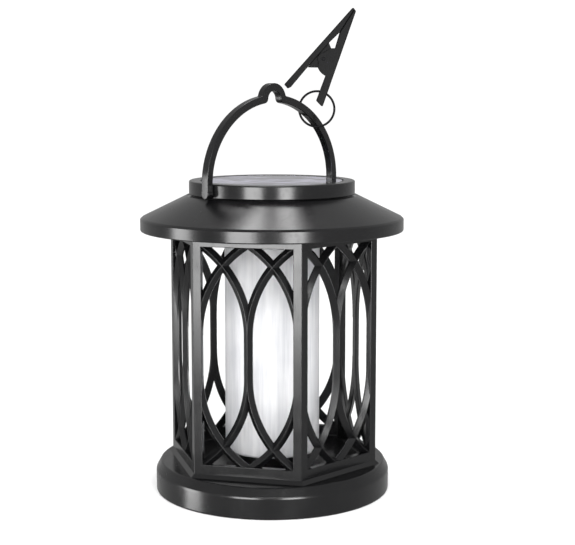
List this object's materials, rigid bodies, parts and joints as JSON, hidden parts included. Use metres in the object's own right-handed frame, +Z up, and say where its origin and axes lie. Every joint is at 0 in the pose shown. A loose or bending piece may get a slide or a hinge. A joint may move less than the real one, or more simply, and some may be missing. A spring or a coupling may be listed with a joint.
{
  "type": "solar garden light",
  "caption": "Hexagonal lattice lantern with a frosted tube, conical roof, round solar cap that twists off, swinging arch handle, and a spring clip on a ring.",
  "frame": {"origin": "centre of the base's underside, which rests on a table", "axes": "+Z up through the roof, X along the handle's pivot axis, -Y out of a flat face of the cage"},
  "size_m": [0.13, 0.13, 0.2392],
  "materials": {
    "charcoal_plastic": "semi-gloss moulded",
    "clip_plastic": "satin moulded",
    "frosted_plastic": "frosted translucent",
    "clear_cover": "polished",
    "solar_cell": "polished",
    "circuit_board": "solder mask",
    "white_plastic": "moulded",
    "seal_rubber": "matte",
    "led_epoxy": "polished",
    "screw_steel": "plated",
    "ring_steel": "black plated",
    "contact_metal": "nickel plated",
    "battery_jacket": "shrink film",
    "red_insulation": "extruded",
    "black_insulation": "extruded"
  },
  "bodies": {
    "lantern": {"base_shell": "charcoal_plastic", "bottom_cover": "charcoal_plastic", "base_screws": "screw_steel", "cage_panel_1": "charcoal_plastic", "cage_panel_2": "charcoal_plastic", "cage_panel_3": "charcoal_plastic", "cage_panel_4": "charcoal_plastic", "cage_panel_5": "charcoal_plastic", "cage_panel_6": "charcoal_plastic", "diffuser_tube": "frosted_plastic", "roof_ceiling": "charcoal_plastic", "ceiling_screws": "screw_steel", "roof_shell": "charcoal_plastic"},
    "solar_top": {"cap_housing": "charcoal_plastic", "lamp_plate": "white_plastic", "lamp_plate_screws": "screw_steel", "circuit_board": "circuit_board", "leds": "led_epoxy", "panel_seal": "seal_rubber", "panel_backing": "circuit_board", "solar_cells": "solar_cell", "panel_cover": "clear_cover", "battery": "battery_jacket", "battery_holder": "white_plastic", "battery_plate": "contact_metal", "battery_spring": "contact_metal", "switch_body": "white_plastic", "wire_red": "red_insulation", "wire_black": "black_insulation"},
    "switch_slide": {"switch_slider": "clip_plastic"},
    "handle": {"handle": "charcoal_plastic"},
    "ring": {"hanging_ring": "ring_steel"},
    "clip": {"clip_fixed_lever": "clip_plastic", "clip_pin": "screw_steel", "clip_spring": "screw_steel"},
    "clip_lever": {"clip_moving_lever": "clip_plastic"}
  },
  "joints": [
    {"name": "cap_twist", "type": "hinge", "parent": "lantern", "child": "solar_top", "pos_m": [0, 0, 0.15], "axis": [0, 0, 1], "range_deg": [0, 25]},
    {"name": "switch_travel", "type": "slide", "parent": "solar_top", "child": "switch_slide", "axis": [1, 0, 0], "range_m": [0, 0.002]},
    {"name": "handle_swing", "type": "hinge", "parent": "solar_top", "child": "handle", "pos_m": [0, 0, 0.1506], "axis": [1, 0, 0], "range_deg": [-75, 75]},
    {"name": "ring_swing", "type": "hinge", "parent": "handle", "child": "ring", "pos_m": [0.02645, 0, 0.18641], "axis": [-0.8136, 0, 0.5814], "range_deg": [-100, 120]},
    {"name": "clip_swing", "type": "hinge", "parent": "ring", "child": "clip", "pos_m": [0.03142, -0.00497, 0.19757], "axis": [0.661, -0.661, -0.3551], "range_deg": [-100, 90]},
    {"name": "clip_squeeze", "type": "hinge", "parent": "clip", "child": "clip_lever", "pos_m": [0.03146, -0.00501, 0.2142], "axis": [-0.7071, -0.7071, 0], "range_deg": [0, 16], "stiffness_Nm_per_rad": 0.05, "springref_deg": -34.38}
  ]
}
